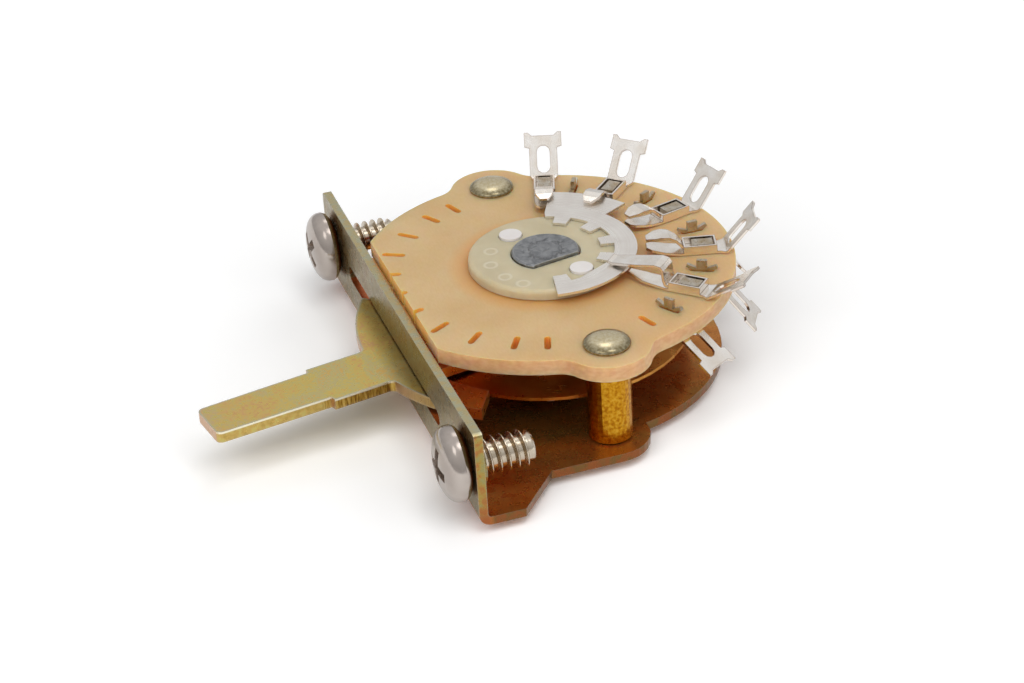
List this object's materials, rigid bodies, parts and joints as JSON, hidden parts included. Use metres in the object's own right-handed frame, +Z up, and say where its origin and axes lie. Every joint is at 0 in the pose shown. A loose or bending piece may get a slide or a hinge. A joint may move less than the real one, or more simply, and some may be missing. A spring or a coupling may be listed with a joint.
{
  "type": "pickup selector switch",
  "caption": "Open-frame lever switch: a flat lever through a slotted flange turns a rotor in a wafer ringed with solder lugs.",
  "frame": {"origin": "on the pivot axis, at the flat underside of the shaft's foot, level with the rivets' tails", "axes": "+Z up along the pivot, from the base plate to the wafer; -Y out through the flange, the way the lever points in the middle of its travel; X along the flange"},
  "size_m": [0.048, 0.0534, 0.0146],
  "materials": {
    "frame": "yellow chromated zinc plating, iridescent",
    "lever": "yellow chromated zinc plating, satin",
    "shaft": "die-cast zinc, rough as cast",
    "spring_disc": "bronzed spring steel, glossy",
    "steel": "polished hardened steel",
    "rotor": "moulded, slightly translucent",
    "pin": "moulded white",
    "contact": "silver-plated brass, stamped",
    "staple": "tinned, dull",
    "wafer": "punched paper laminate, waxy",
    "rivet": "nickel-plated, satin",
    "spacer": "bare tube, mottled",
    "screw": "nickel-plated, polished"
  },
  "bodies": {
    "frame": {"frame": "frame", "wafer": "wafer", "terminal_upper_common": "contact", "terminal_upper_1": "contact", "terminal_upper_2": "contact", "terminal_upper_3": "contact", "terminal_upper_4": "contact", "terminal_lower_common": "contact", "terminal_lower_1": "contact", "terminal_lower_2": "contact", "terminal_lower_3": "contact", "terminal_lower_4": "contact", "staple_upper_common": "staple", "staple_upper_1": "staple", "staple_upper_2": "staple", "staple_upper_3": "staple", "staple_upper_4": "staple", "staple_lower_common": "staple", "staple_lower_1": "staple", "staple_lower_2": "staple", "staple_lower_3": "staple", "staple_lower_4": "staple", "rivet_left": "rivet", "rivet_right": "rivet", "spacer_left": "spacer", "spacer_right": "spacer", "mounting_screw_left": "screw", "mounting_screw_right": "screw"},
    "lever": {"lever": "lever", "shaft": "shaft", "index_disc": "spring_disc", "detent_ball_1": "steel", "detent_ball_2": "steel", "retaining_clip": "steel", "rotor_upper": "rotor", "rotor_lower": "rotor", "rotor_pin_1": "pin", "rotor_pin_2": "pin", "contact_ring_upper": "contact", "contact_ring_lower": "contact"}
  },
  "joints": [
    {"name": "lever_turn", "type": "hinge", "parent": "frame", "child": "lever", "pos_m": [0, 0, 0.0054], "axis": [0, 0, 1], "range_deg": [-45, 15]}
  ]
}
